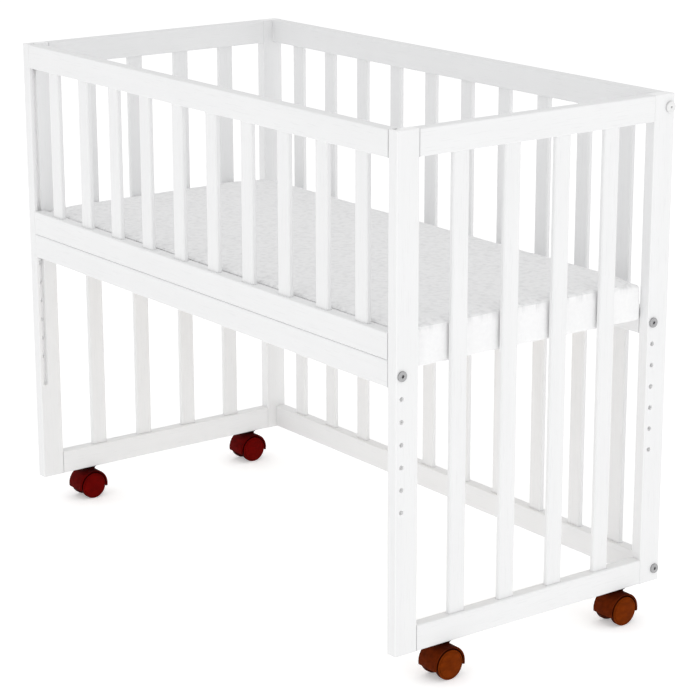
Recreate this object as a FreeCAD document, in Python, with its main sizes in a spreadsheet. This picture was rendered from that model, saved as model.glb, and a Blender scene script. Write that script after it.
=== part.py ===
import FreeCAD, Part
import math
import os

import Sketcher
from FreeCAD import Placement, Rotation, Vector

# A bedside sleeper crib: two end panels, a back panel, a base with its mattress that bolts at one
# of seven heights, a low front guard that lifts out of grooves, and four twin-wheel casters.
# +X runs along the crib, +Y to the back, +Z up. The origin is on the floor under its middle.

SIZES = {
    # whole crib, without the casters
    "length": 980,
    "depth": 496,
    "post_tall": 730,
    # wood sections
    "board": 19,
    "post_deep": 38,
    "rail_tall": 38,
    "edge_round": 2,
    "slat_wide": 28,
    "slat_thick": 8,
    "slat_bevel": 1.6,
    "slat_pitch": 90,
    # wood joints
    "mortise_deep": 10,
    "glue_gap": 0.15,
    "tenon_long": 20,
    "tenon_thick": 9,
    "tenon_shoulder": 6,
    # height holes in the posts
    "top_hole_up": 400,
    "hole_pitch": 32,
    "hole_count": 7,
    # groove in the front posts and the pins that run in it
    "pin_across": 7.4,
    "groove_gap": 0.3,
    "groove_deep": 8,
    "groove_foot_up": 160,
    "pin_set": 18,
    "pin_tip_gap": 1,
    # furniture bolts, threaded inserts and cover caps
    "bolt_across": 6,
    "bolt_gap": 0.5,
    "head_across": 16.5,
    "head_thick": 2.4,
    "key_across": 4.2,
    "key_deep": 3.4,
    "insert_wall": 2,
    "insert_long": 15,
    "thread_gap": 0.05,
    "cap_wall": 0.8,
    # base
    "slide_gap": 0.2,
    "guard_seat": 0.3,
    "guard_end_gap": 1,
    "ledger_wide": 15,
    "ledger_tall": 12,
    "ledger_short": 66,
    "bed_slat_wide": 40,
    "bed_slat_thick": 8,
    "bed_slat_pitch": 80,
    "bed_slat_gap": 1,
    # mattress
    "mattress_thick": 61,
    "mattress_gap": 0.3,
    "mattress_side_gap": 0.8,
    "mattress_end_gap": 1.2,
    "mattress_edge": 6,
    "mattress_foot_edge": 4,
    "mattress_corner": 9,
    "mattress_draw": 2,
    "mattress_crown": 3,
    "mattress_crown_reach": 60,
    # casters
    "front_caster_in": 98,
    "back_caster_in": 68,
    "wheel_across": 44,
    "wheel_wide": 14.4,
    "wheel_gap": 0.6,
    "axle_across": 6,
    "axle_back": 8,
    "axle_reach": 11,
    "axle_end_gap": 0.5,
    "run_gap": 0.07,
    "web_thick": 10,
    "tread_gap": 1.8,
    "hood_skin": 3.2,
    "hood_short": 1,
    "axle_wall": 2,
    "hood_to_rail": 3.5,
    "neck_wall": 2,
    "neck_gap": 0.3,
    "stem_across": 8,
    "stem_in_hood": 14,
    "socket_wall": 1.8,
    "socket_end": 1.5,
    "socket_floor": 2.6,
    "flange_reach": 1.4,
    "flange_thick": 1.5,
}

# Heights above the floor and distances that several pieces share
WHEEL_RADIUS = "(Sizes.wheel_across / 2)"
HOOD_RADIUS = f"({WHEEL_RADIUS} + Sizes.tread_gap + Sizes.hood_skin)"
AXLE_DROP = f"({HOOD_RADIUS} + Sizes.hood_to_rail)"
LIP_DROP = "(Sizes.axle_across / 2 + Sizes.axle_wall)"
FOOT = f"({AXLE_DROP} + {WHEEL_RADIUS})"
INNER = "(Sizes.length / 2 - Sizes.board)"
LONG_RUN = "(Sizes.length - 2 * Sizes.board)"
END_RUN = "(Sizes.depth - 2 * Sizes.post_deep)"
LEDGER_RUN = f"({LONG_RUN} - 2 * Sizes.ledger_short)"
BED_DEEP = "(Sizes.depth - Sizes.board - Sizes.post_deep)"
BED_MIDDLE = "((Sizes.board - Sizes.post_deep) / 2)"
SLAT_RUN = "(Sizes.post_tall - 2 * Sizes.rail_tall + 2 * Sizes.mortise_deep)"
FRONT_LINE = "(Sizes.board / 2 - Sizes.depth / 2)"
BASE_BACK_THICK = "(Sizes.post_deep - Sizes.board)"
BASE_BACK_LINE = f"(Sizes.depth / 2 - Sizes.post_deep + {BASE_BACK_THICK} / 2)"
BACK_LINE = "(Sizes.depth / 2 - Sizes.board / 2)"
BOTTOM_RAIL_UP = f"({FOOT} + Sizes.rail_tall / 2)"
TOP_RAIL_UP = f"({FOOT} + Sizes.post_tall - Sizes.rail_tall / 2)"
BASE_UP = f"({FOOT} + Sizes.top_hole_up)"
GUARD_LOW_UP = f"({BASE_UP} + Sizes.rail_tall + Sizes.guard_seat)"
END_LINE = "(Sizes.length / 2 - Sizes.board / 2)"
LEDGER_TOP = f"({BASE_UP} - Sizes.rail_tall / 2 + Sizes.ledger_tall)"

# Widths and radii that one piece takes from another
HOLE_RADIUS = "(Sizes.bolt_across / 2 + Sizes.bolt_gap)"
INSERT_RADIUS = "(Sizes.bolt_across / 2 + Sizes.insert_wall)"
GROOVE_RADIUS = "(Sizes.pin_across / 2 + Sizes.groove_gap)"
SOCKET_RADIUS = "(Sizes.stem_across / 2 + Sizes.run_gap + Sizes.socket_wall)"
SOCKET_DEEP = "(Sizes.rail_tall - Sizes.mortise_deep - Sizes.socket_floor)"

AXIS_PLANE = {"x": "YZ_Plane", "y": "XZ_Plane", "z": "XY_Plane"}

KEY_SIDES = 6

doc = FreeCAD.newDocument("BedsideCrib")
kept = []


def make_sheet():
    """The driving dimensions, one plain number in each named cell."""
    sheet = doc.addObject("Spreadsheet::Sheet", "Sizes")
    for row, (alias, number) in enumerate(SIZES.items(), start=1):
        sheet.set(f"A{row}", str(number))
        sheet.setAlias(f"A{row}", alias)
    doc.recompute()
    return sheet


def keep(piece, label):
    """Name a finished piece, which also names its file."""
    piece.Label = label
    kept.append(piece)
    return piece


def new_body(label, x="0", y="0", z="0", turn=0):
    """A body for one piece, turned about Z and placed by expressions."""
    body = doc.addObject("PartDesign::Body", label)
    body.Placement = Placement(Vector(), Rotation(Vector(0, 0, 1), turn))
    for axis, expression in (("x", x), ("y", y), ("z", z)):
        body.setExpression(f"Placement.Base.{axis}", expression)
    return keep(body, label)


def origin_part(body, role):
    """One of the body's own origin planes or axes."""
    return next(part for part in body.Origin.OriginFeatures if part.Role == role)


def new_sketch(body, name, square_to, x="0", y="0", z="0"):
    """A sketch square to an axis of the body. x and y move it in its plane, z along its normal."""
    sketch = body.newObject("Sketcher::SketchObject", name)
    sketch.AttachmentSupport = [(origin_part(body, AXIS_PLANE[square_to]), "")]
    sketch.MapMode = "FlatFace"
    for axis, expression in (("x", x), ("y", y), ("z", z)):
        sketch.setExpression(f"AttachmentOffset.Base.{axis}", expression)
    return sketch


def hold_point(sketch, geometry, end, x, y, near):
    """Fix one point of the sketch at two distances from its origin."""
    for kind, expression, start in (("DistanceX", x, near.x), ("DistanceY", y, near.y)):
        number = sketch.addConstraint(Sketcher.Constraint(kind, -1, 1, geometry, end, start))
        sketch.setExpression(f"Constraints[{number}]", expression)


def draw_outline(sketch, points):
    """A closed outline of straight lines through points given as expressions."""
    count = len(points)
    angles = [2 * math.pi * corner / count for corner in range(count)]
    start = [Vector(math.cos(angle), math.sin(angle), 0) for angle in angles]
    for corner in range(count):
        sketch.addGeometry(Part.LineSegment(start[corner], start[(corner + 1) % count]))
    for corner in range(count):
        sketch.addConstraint(Sketcher.Constraint("Coincident", corner, 2, (corner + 1) % count, 1))
    for corner, (x, y) in enumerate(points):
        hold_point(sketch, corner, 1, x, y, start[corner])


def draw_rectangle(sketch, wide, tall):
    """A rectangle centred on the sketch's origin."""
    left, right = f"-({wide}) / 2", f"({wide}) / 2"
    low, high = f"-({tall}) / 2", f"({tall}) / 2"
    draw_outline(sketch, [(left, low), (right, low), (right, high), (left, high)])


def draw_circle(sketch, radius, x="0", y="0"):
    """A circle whose centre and radius are expressions."""
    number = sketch.addGeometry(Part.Circle(Vector(1, 1, 0), Vector(0, 0, 1), 1))
    hold_point(sketch, number, 3, x, y, Vector(1, 1, 0))
    size = sketch.addConstraint(Sketcher.Constraint("Radius", number, 1))
    sketch.setExpression(f"Constraints[{size}]", radius)


def pad(body, sketch, length, both_ways=False, reverse=False):
    """Raise a sketch into solid, along its normal or half to each side."""
    feature = body.newObject("PartDesign::Pad", f"{sketch.Name}Pad")
    feature.Profile = sketch
    feature.SideType = "Symmetric" if both_ways else "One side"
    feature.Reversed = reverse
    feature.setExpression("Length", length)
    doc.recompute()
    return feature


def pocket(body, sketch, depth, along_normal=False, both_ways=False):
    """Cut a sketch out of the solid, against its normal unless along_normal is set."""
    before = body.Shape.Volume
    feature = body.newObject("PartDesign::Pocket", f"{sketch.Name}Pocket")
    feature.Profile = sketch
    feature.SideType = "Symmetric" if both_ways else "One side"
    feature.Reversed = along_normal
    feature.setExpression("Length", depth)
    doc.recompute()
    if body.Shape.Volume >= before:
        raise RuntimeError(f"{body.Label}: {sketch.Name} cuts nothing")
    return feature


def revolve(body, sketch, axis):
    """Turn a profile a whole turn about one of the body's own axes."""
    feature = body.newObject("PartDesign::Revolution", f"{sketch.Name}Turn")
    feature.Profile = sketch
    feature.ReferenceAxis = (origin_part(body, f"{axis.upper()}_Axis"), [""])
    feature.Angle = 360
    doc.recompute()
    return feature


def long_edges(base, axis):
    """The edges that run along one axis of the piece."""
    way = Vector(*(float(axis == name) for name in "xyz"))
    edges = enumerate(base.Shape.Edges, start=1)
    return [f"Edge{number}" for number, edge in edges
            if abs(edge.tangentAt(edge.FirstParameter).dot(way)) > 0.999]


def round_long_edges(body, axis):
    """Round the long edges of a post or a rail."""
    base = body.Tip
    feature = body.newObject("PartDesign::Fillet", "LongEdges")
    feature.Base = (base, long_edges(base, axis))
    feature.setExpression("Radius", "Sizes.edge_round")
    doc.recompute()


def bevel_long_edges(body, axis):
    """Bevel the long edges of a slat."""
    base = body.Tip
    feature = body.newObject("PartDesign::Chamfer", "LongEdges")
    feature.Base = (base, long_edges(base, axis))
    feature.setExpression("Size", "Sizes.slat_bevel")
    doc.recompute()


def repeat(body, features, axis, spacing, count, reverse=False):
    """Repeat features, or the whole piece where features is empty, at an even spacing."""
    feature = body.newObject("PartDesign::LinearPattern", "Row")
    feature.TransformMode = "Features" if features else "Whole shape"
    feature.Originals = features
    feature.Direction = (origin_part(body, f"{axis.upper()}_Axis"), [""])
    feature.Reversed = reverse
    feature.Mode = "Spacing"
    feature.setExpression("Offset", spacing)
    feature.setExpression("Occurrences", count)
    body.Tip = feature
    doc.recompute()
    return feature


def mirror(body, features, square_to="x"):
    """Mirror features, or the whole piece where features is empty, in an origin plane."""
    feature = body.newObject("PartDesign::Mirrored", "OtherSide")
    feature.TransformMode = "Features" if features else "Whole shape"
    feature.Originals = features
    feature.MirrorPlane = (origin_part(body, AXIS_PLANE[square_to]), [""])
    body.Tip = feature
    doc.recompute()
    return feature


def mirrored_copy(source, label):
    """The left-hand partner of a right-hand piece."""
    copy = doc.addObject("Part::Mirroring", label)
    copy.Source = source
    copy.Base = Vector()
    copy.Normal = Vector(1, 0, 0)
    return keep(copy, label)


def slat_count(run):
    """How many slats a run between posts takes at the slat pitch."""
    return f"floor({run} / Sizes.slat_pitch)"


def first_slat(run):
    """Where a centred row of slats starts."""
    return f"-({slat_count(run)} - 1) / 2 * Sizes.slat_pitch"


def cut_slat_mortises(body, run, on_top):
    """Mortises for a row of slats in the top or the underside of a rail."""
    level = "Sizes.rail_tall / 2" if on_top else "-Sizes.rail_tall / 2"
    sketch = new_sketch(body, "Mortise", "z", x=first_slat(run), z=level)
    wide, thick = (f"Sizes.{name} + 2 * Sizes.glue_gap" for name in ("slat_wide", "slat_thick"))
    draw_rectangle(sketch, wide, thick)
    cut = pocket(body, sketch, "Sizes.mortise_deep", along_normal=not on_top)
    repeat(body, [cut], "x", "Sizes.slat_pitch", slat_count(run))


def cut_insert_bores(body, length):
    """In each end of a rail, a bore for the threaded insert."""
    bore = new_sketch(body, "InsertBore", "x", z=f"{length} / 2")
    draw_circle(bore, f"{INSERT_RADIUS} + Sizes.glue_gap")
    cut = pocket(body, bore, "Sizes.insert_long")
    mirror(body, [cut])


def make_rail(label, length, y, z, x="0", turn=0, thick="Sizes.board"):
    """A rail along its own X, centred, with its long edges rounded."""
    body = new_body(label, x, y, z, turn)
    section = new_sketch(body, "Section", "x")
    draw_rectangle(section, thick, "Sizes.rail_tall")
    pad(body, section, length, both_ways=True)
    round_long_edges(body, "x")
    return body


def make_slats(label, run, length, y, z, x="0", turn=0):
    """A row of slats with eased edges, standing on the floors of their mortises."""
    body = new_body(label, x, y, z, turn)
    section = new_sketch(body, "Section", "z", x=first_slat(run))
    draw_rectangle(section, "Sizes.slat_wide", "Sizes.slat_thick")
    pad(body, section, length)
    bevel_long_edges(body, "z")
    repeat(body, [], "x", "Sizes.slat_pitch", slat_count(run))
    return body


def make_post(label, y, base_rail_thick):
    """A right-hand post. Its own origin is its inner front corner at the foot."""
    body = new_body(label, INNER, y, FOOT)
    section = new_sketch(body, "Section", "z")
    draw_outline(section, [("0", "0"), ("Sizes.board", "0"),
                           ("Sizes.board", "Sizes.post_deep"), ("0", "Sizes.post_deep")])
    pad(body, section, "Sizes.post_tall")
    round_long_edges(body, "z")
    hole = new_sketch(body, "HeightHole", "x")
    draw_circle(hole, HOLE_RADIUS, f"{base_rail_thick} / 2", "Sizes.top_hole_up")
    cut = pocket(body, hole, "Sizes.board", along_normal=True)
    repeat(body, [cut], "z", "Sizes.hole_pitch", "Sizes.hole_count", reverse=True)
    return body


def cut_rail_mortises(body, faces_back):
    """The two mortises of a post that take the end rails' tenons."""
    wide = "Sizes.tenon_thick + 2 * Sizes.glue_gap"
    tall = "Sizes.rail_tall - 2 * Sizes.tenon_shoulder + 2 * Sizes.glue_gap"
    face = "-Sizes.post_deep" if faces_back else "0"
    for name, level in (("LowMortise", "Sizes.rail_tall / 2"),
                        ("HighMortise", "Sizes.post_tall - Sizes.rail_tall / 2")):
        sketch = new_sketch(body, name, "y", x="Sizes.board / 2", y=level, z=face)
        draw_rectangle(sketch, wide, tall)
        pocket(body, sketch, "Sizes.tenon_long + Sizes.glue_gap", along_normal=faces_back)


def cut_guide_groove(body):
    """The stopped groove in a front post's inner face, open at the top, round at its foot."""
    radius = SIZES["pin_across"] / 2 + SIZES["groove_gap"]
    foot = SIZES["groove_foot_up"] + radius
    top = SIZES["post_tall"]
    sketch = new_sketch(body, "Groove", "x")
    sketch.addGeometry(Part.LineSegment(Vector(-radius, foot, 0), Vector(-radius, top, 0)))
    sketch.addGeometry(Part.LineSegment(Vector(-radius, top, 0), Vector(radius, top, 0)))
    sketch.addGeometry(Part.LineSegment(Vector(radius, top, 0), Vector(radius, foot, 0)))
    end = Part.Circle(Vector(0, foot, 0), Vector(0, 0, 1), radius)
    sketch.addGeometry(Part.ArcOfCircle(end, math.pi, 2 * math.pi))
    for first, second in ((0, 1), (1, 2)):
        sketch.addConstraint(Sketcher.Constraint("Coincident", first, 2, second, 1))
    sketch.addConstraint(Sketcher.Constraint("Coincident", 2, 2, 3, 2))
    sketch.addConstraint(Sketcher.Constraint("Coincident", 3, 1, 0, 1))
    left = f"Sizes.board / 2 - {GROOVE_RADIUS}"
    right = f"Sizes.board / 2 + {GROOVE_RADIUS}"
    foot_level = f"Sizes.groove_foot_up + {GROOVE_RADIUS}"
    hold_point(sketch, 0, 1, left, foot_level, Vector(-radius, foot, 0))
    hold_point(sketch, 1, 1, left, "Sizes.post_tall", Vector(-radius, top, 0))
    hold_point(sketch, 2, 1, right, "Sizes.post_tall", Vector(radius, top, 0))
    hold_point(sketch, 2, 2, right, foot_level, Vector(radius, foot, 0))
    level = Sketcher.Constraint("DistanceY", -1, 1, 3, 3, foot)
    number = sketch.addConstraint(level)
    sketch.setExpression(f"Constraints[{number}]", foot_level)
    pocket(body, sketch, "Sizes.groove_deep", along_normal=True)


def cut_panel_bolt_holes(body):
    """The two holes of a back post that the back panel's bolts pass through."""
    for name, level in (("LowBoltHole", "Sizes.rail_tall / 2"),
                        ("HighBoltHole", "Sizes.post_tall - Sizes.rail_tall / 2")):
        sketch = new_sketch(body, name, "x")
        draw_circle(sketch, HOLE_RADIUS, "Sizes.post_deep - Sizes.board / 2", level)
        pocket(body, sketch, "Sizes.board", along_normal=True)


def make_end_rail(label, z, slats_above):
    """A right-hand end rail, lying along Y, with a tenon at each end."""
    body = make_rail(label, END_RUN, "0", z, END_LINE, turn=90)
    tenon = new_sketch(body, "Tenon", "x")
    draw_rectangle(tenon, "Sizes.tenon_thick", "Sizes.rail_tall - 2 * Sizes.tenon_shoulder")
    pad(body, tenon, f"{END_RUN} + 2 * Sizes.tenon_long", both_ways=True)
    cut_slat_mortises(body, END_RUN, on_top=slats_above)
    return body


def cut_socket_bores(body):
    """The two bores in an end panel's bottom rail that hold the caster sockets."""
    places = (("FrontBore", "Sizes.front_caster_in - Sizes.depth / 2"),
              ("BackBore", "Sizes.depth / 2 - Sizes.back_caster_in"))
    for name, place in places:
        sketch = new_sketch(body, name, "z", z="-Sizes.rail_tall / 2")
        draw_circle(sketch, f"{SOCKET_RADIUS} + Sizes.thread_gap", x=place)
        pocket(body, sketch, SOCKET_DEEP, along_normal=True)


def make_end_panels():
    """The right-hand end panel piece by piece, and each piece's left-hand partner."""
    front_post = make_post("right_front_post", "-Sizes.depth / 2", "Sizes.board")
    cut_rail_mortises(front_post, faces_back=True)
    cut_guide_groove(front_post)
    back_post = make_post("right_back_post", "Sizes.depth / 2 - Sizes.post_deep", BASE_BACK_THICK)
    cut_rail_mortises(back_post, faces_back=False)
    cut_panel_bolt_holes(back_post)
    top_rail = make_end_rail("right_top_rail", TOP_RAIL_UP, slats_above=False)
    bottom_rail = make_end_rail("right_bottom_rail", BOTTOM_RAIL_UP, slats_above=True)
    cut_socket_bores(bottom_rail)
    slats = make_slats("right_slats", END_RUN, SLAT_RUN, "0",
                       f"{FOOT} + Sizes.rail_tall - Sizes.mortise_deep", END_LINE, turn=90)
    for piece in (front_post, back_post, top_rail, bottom_rail, slats):
        mirrored_copy(piece, piece.Label.replace("right", "left"))


def draw_bolt(body, face):
    """A flat-headed furniture bolt along X, its head outside the face, its tip in its insert."""
    profile = new_sketch(body, "BoltProfile", "z", x=face)
    shank, head = "Sizes.bolt_across / 2", "Sizes.head_across / 2"
    tip = "-(Sizes.board + Sizes.insert_long)"
    draw_outline(profile, [
        (tip, "0"), ("Sizes.head_thick", "0"), ("Sizes.head_thick", head),
        ("0", head), ("0", shank), (tip, shank)])
    revolve(body, profile, "x")
    key = new_sketch(body, "KeySocket", "x", z=f"{face} + Sizes.head_thick")
    reach = f"Sizes.key_across / 2 / cos({180 / KEY_SIDES} deg)"
    turns = [360 / KEY_SIDES * corner for corner in range(KEY_SIDES)]
    draw_outline(key, [(f"{reach} * cos({turn} deg)", f"{reach} * sin({turn} deg)") for turn in turns])
    pocket(body, key, "Sizes.key_deep")


def make_bolts(label, face, y, z, spread_axis, spread):
    """Four bolts: one, its partner at the other end, and both again along an axis."""
    body = new_body(label, "0", y, z)
    draw_bolt(body, face)
    mirror(body, [])
    repeat(body, [], spread_axis, spread, "2")


def make_inserts(label, length, y, z, spread_axis, spread):
    """Four threaded inserts, one in each rail end, that the bolts screw into."""
    body = new_body(label, "0", y, z)
    ring = new_sketch(body, "Insert", "x", z=f"{length} / 2")
    draw_circle(ring, INSERT_RADIUS)
    draw_circle(ring, "Sizes.bolt_across / 2 + Sizes.thread_gap")
    pad(body, ring, "Sizes.insert_long", reverse=True)
    mirror(body, [])
    repeat(body, [], spread_axis, spread, "2")


def make_cover_caps():
    """A thin plastic cap over the head of each upper bolt of the back panel."""
    body = new_body("bolt_caps", "0", BACK_LINE, TOP_RAIL_UP)
    profile = new_sketch(body, "CapProfile", "z", x="Sizes.length / 2")
    outer = "Sizes.head_across / 2 + Sizes.glue_gap + Sizes.cap_wall"
    inner = "Sizes.head_across / 2 + Sizes.glue_gap"
    under = "Sizes.head_thick + Sizes.glue_gap"
    top = f"{under} + Sizes.cap_wall"
    draw_outline(profile, [
        ("0", inner), ("0", outer), (top, outer), (top, "0"), (under, "0"), (under, inner)])
    revolve(body, profile, "x")
    mirror(body, [])


def make_back_panel():
    """Two rails and a row of slats between the back posts, bolted through the posts."""
    top_rail = make_rail("back_top_rail", LONG_RUN, BACK_LINE, TOP_RAIL_UP)
    cut_slat_mortises(top_rail, LONG_RUN, on_top=False)
    cut_insert_bores(top_rail, LONG_RUN)
    bottom_rail = make_rail("back_bottom_rail", LONG_RUN, BACK_LINE, BOTTOM_RAIL_UP)
    cut_slat_mortises(bottom_rail, LONG_RUN, on_top=True)
    cut_insert_bores(bottom_rail, LONG_RUN)
    make_slats("back_slats", LONG_RUN, SLAT_RUN, BACK_LINE,
               f"{FOOT} + Sizes.rail_tall - Sizes.mortise_deep")
    rise = "Sizes.post_tall - Sizes.rail_tall"
    make_bolts("back_panel_bolts", "Sizes.length / 2", BACK_LINE, BOTTOM_RAIL_UP, "z", rise)
    make_inserts("back_panel_inserts", LONG_RUN, BACK_LINE, BOTTOM_RAIL_UP, "z", rise)
    make_cover_caps()


def make_base():
    """The base that the mattress lies on, held at one height by four bolts."""
    length = f"({LONG_RUN} - 2 * Sizes.slide_gap)"
    for label, line, thick in (("base_front_rail", FRONT_LINE, "Sizes.board"),
                               ("base_back_rail", BASE_BACK_LINE, BASE_BACK_THICK)):
        rail = make_rail(label, length, line, BASE_UP, thick=thick)
        cut_insert_bores(rail, length)
    make_ledgers()
    make_bed_slats()
    spread = f"{BASE_BACK_LINE} - {FRONT_LINE}"
    face = "Sizes.length / 2 + Sizes.slide_gap"
    make_bolts("height_bolts", face, FRONT_LINE, BASE_UP, "y", spread)
    make_inserts("height_inserts", length, FRONT_LINE, BASE_UP, "y", spread)


def make_ledgers():
    """A strip along the inner face of each base rail, for the slats to lie on."""
    for label, line in (("front_ledger", f"{BED_MIDDLE} - {BED_DEEP} / 2 + Sizes.ledger_wide / 2"),
                        ("back_ledger", f"{BED_MIDDLE} + {BED_DEEP} / 2 - Sizes.ledger_wide / 2")):
        strip = new_body(label, "0", line, f"{LEDGER_TOP} - Sizes.ledger_tall / 2")
        section = new_sketch(strip, "Section", "x")
        draw_rectangle(section, "Sizes.ledger_wide", "Sizes.ledger_tall")
        pad(strip, section, LEDGER_RUN, both_ways=True)


def make_bed_slats():
    """Slats across the base, lying on the two ledgers."""
    count = f"floor({LEDGER_RUN} / Sizes.bed_slat_pitch)"
    body = new_body("bed_slats", "0", BED_MIDDLE, LEDGER_TOP)
    start = f"-({count} - 1) / 2 * Sizes.bed_slat_pitch"
    section = new_sketch(body, "Section", "y", x=start, y="Sizes.bed_slat_thick / 2")
    draw_rectangle(section, "Sizes.bed_slat_wide", "Sizes.bed_slat_thick")
    pad(body, section, f"{BED_DEEP} - 2 * Sizes.bed_slat_gap", both_ways=True)
    repeat(body, [], "x", "Sizes.bed_slat_pitch", count)


def mattress_outline(half_long, half_wide, corner, draw, level):
    """One level of the mattress: four bowed-in sides joined by round corners."""
    diagonal = corner * (1 - math.sqrt(0.5))
    edges = []
    for turn in (0, 180):
        along = Vector(half_long - corner, -half_wide, level)
        back = Vector(corner - half_long, -half_wide, level)
        middle = Vector(0, draw - half_wide, level)
        bend = Vector(half_long - diagonal, diagonal - half_wide, level)
        side = Vector(half_long, corner - half_wide, level)
        side_end = Vector(half_long, half_wide - corner, level)
        side_middle = Vector(half_long - draw, 0, level)
        far_bend = Vector(half_long - diagonal, half_wide - diagonal, level)
        far = Vector(half_long - corner, half_wide, level)
        spin = Rotation(Vector(0, 0, 1), turn)
        for ends in ((back, middle, along), (along, bend, side), (side, side_middle, side_end),
                     (side_end, far_bend, far)):
            edges.append(Part.Arc(*(spin.multVec(point) for point in ends)).toShape())
    return Part.Wire(edges)


def make_mattress(sheet):
    """The mattress: rounded edges, sides drawn in a little between the corners, a low crown."""
    half_long = sheet.length / 2 - sheet.board - sheet.mattress_end_gap
    run = sheet.depth - sheet.post_deep - sheet.board
    half_wide = run / 2 - sheet.mattress_side_gap
    foot_edge, edge, crown = sheet.mattress_foot_edge, sheet.mattress_edge, sheet.mattress_crown
    wall_top = sheet.mattress_thick - crown
    half_turn = 1 - math.sqrt(0.5)
    levels = ((foot_edge, 0), (0, foot_edge), (0, wall_top - edge),
              (edge * half_turn, wall_top - edge * half_turn), (edge, wall_top),
              (sheet.mattress_crown_reach, sheet.mattress_thick))
    wires = []
    for inset, level in levels:
        corner = max(sheet.mattress_corner - inset, sheet.mattress_foot_edge)
        wires.append(mattress_outline(half_long - inset, half_wide - inset, corner,
                                      sheet.mattress_draw, level))
    mattress = doc.addObject("Part::Feature", "mattress")
    mattress.Shape = Part.makeLoft(wires, True, True)
    hood_radius = sheet.wheel_across / 2 + sheet.tread_gap + sheet.hood_skin
    foot = hood_radius + sheet.hood_to_rail + sheet.wheel_across / 2
    ledger_top = foot + sheet.top_hole_up - sheet.rail_tall / 2 + sheet.ledger_tall
    rest_on = ledger_top + sheet.bed_slat_thick + sheet.mattress_gap
    middle = (sheet.board - sheet.post_deep) / 2
    mattress.Placement = Placement(Vector(0, middle, rest_on), Rotation())
    keep(mattress, "mattress")


def make_front_guard():
    """The low front guard: two rails, slats and the pins that run in the posts' grooves."""
    length = f"({LONG_RUN} - 2 * Sizes.guard_end_gap)"
    rails = (("guard_top_rail", TOP_RAIL_UP, False), ("guard_low_rail", GUARD_LOW_UP, True))
    for label, level, on_top in rails:
        rail = make_rail(label, length, FRONT_LINE, level)
        cut_slat_mortises(rail, LONG_RUN, on_top)
        bore = new_sketch(rail, "PinBore", "x", z=f"{length} / 2")
        draw_circle(bore, "Sizes.pin_across / 2 + Sizes.run_gap")
        cut = pocket(rail, bore, "Sizes.pin_set")
        mirror(rail, [cut])
    low_face = f"{GUARD_LOW_UP} + Sizes.rail_tall / 2 - Sizes.mortise_deep"
    high_face = f"({TOP_RAIL_UP} - Sizes.rail_tall / 2 + Sizes.mortise_deep)"
    make_slats("guard_slats", LONG_RUN, f"{high_face} - ({low_face})", FRONT_LINE, low_face)
    pins = new_body("guard_pins", "0", FRONT_LINE, GUARD_LOW_UP)
    root = new_sketch(pins, "Pin", "x", z=f"{length} / 2 - Sizes.pin_set")
    draw_circle(root, "Sizes.pin_across / 2")
    reach = "Sizes.pin_set + Sizes.guard_end_gap + Sizes.groove_deep - Sizes.pin_tip_gap"
    pad(pins, root, reach)
    mirror(pins, [])
    repeat(pins, [], "z", f"{TOP_RAIL_UP} - {GUARD_LOW_UP}", "2")


def make_caster_sockets():
    """The four plastic sockets in the end panels, each with a flange under the rail."""
    body = new_body("caster_sockets", END_LINE, "Sizes.front_caster_in - Sizes.depth / 2", FOOT)
    bore = "Sizes.stem_across / 2 + Sizes.run_gap"
    flange = f"{SOCKET_RADIUS} + Sizes.flange_reach"
    end = f"{SOCKET_DEEP} - Sizes.socket_end"
    profile = new_sketch(body, "SocketProfile", "y")
    draw_outline(profile, [
        (bore, "-Sizes.flange_thick"), (flange, "-Sizes.flange_thick"), (flange, "0"),
        (SOCKET_RADIUS, "0"), (SOCKET_RADIUS, SOCKET_DEEP), ("0", SOCKET_DEEP), ("0", end),
        (bore, end)])
    revolve(body, profile, "z")
    spread = "Sizes.depth - Sizes.front_caster_in - Sizes.back_caster_in"
    repeat(body, [], "y", spread, "2")
    repeat(body, [], "x", f"2 * {END_LINE}", "2", reverse=True)


def make_wheel(label, x, y, turn):
    """One wheel of a twin: a closed outer face and a blind hub bore inside."""
    body = new_body(label, x, f"{y} - Sizes.axle_back", WHEEL_RADIUS, turn)
    inner = "(Sizes.web_thick / 2 + Sizes.wheel_gap)"
    outer = f"({inner} + Sizes.wheel_wide)"
    bore = "Sizes.axle_across / 2 + Sizes.run_gap"
    bore_end = f"{inner} + Sizes.axle_reach"
    profile = new_sketch(body, "WheelProfile", "z")
    draw_outline(profile, [
        (inner, bore), (inner, WHEEL_RADIUS), (outer, WHEEL_RADIUS), (outer, "0"),
        (bore_end, "0"), (bore_end, bore)])
    revolve(body, profile, "x")


def draw_hood_side(sketch):
    """The hood's side view: an arc over the wheels closed by a level line just under the axle."""
    radius = SIZES["wheel_across"] / 2 + SIZES["tread_gap"] + SIZES["hood_skin"]
    drop = SIZES["axle_across"] / 2 + SIZES["axle_wall"]
    lean = math.asin(drop / radius)
    lip = Vector(radius * math.cos(lean), -drop, 0)
    far_lip = Vector(-radius * math.cos(lean), -drop, 0)
    circle = Part.Circle(Vector(), Vector(0, 0, 1), radius)
    arc = sketch.addGeometry(Part.ArcOfCircle(circle, -lean, math.pi + lean))
    line = sketch.addGeometry(Part.LineSegment(far_lip, lip))
    sketch.addConstraint(Sketcher.Constraint("Coincident", arc, 2, line, 1))
    sketch.addConstraint(Sketcher.Constraint("Coincident", line, 2, arc, 1))
    sketch.addConstraint(Sketcher.Constraint("Coincident", arc, 3, -1, 1))
    sketch.addConstraint(Sketcher.Constraint("Horizontal", line))
    size = sketch.addConstraint(Sketcher.Constraint("Radius", arc, radius))
    sketch.setExpression(f"Constraints[{size}]", HOOD_RADIUS)
    low = sketch.addConstraint(Sketcher.Constraint("DistanceY", arc, 2, -1, 1, drop))
    sketch.setExpression(f"Constraints[{low}]", LIP_DROP)


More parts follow.
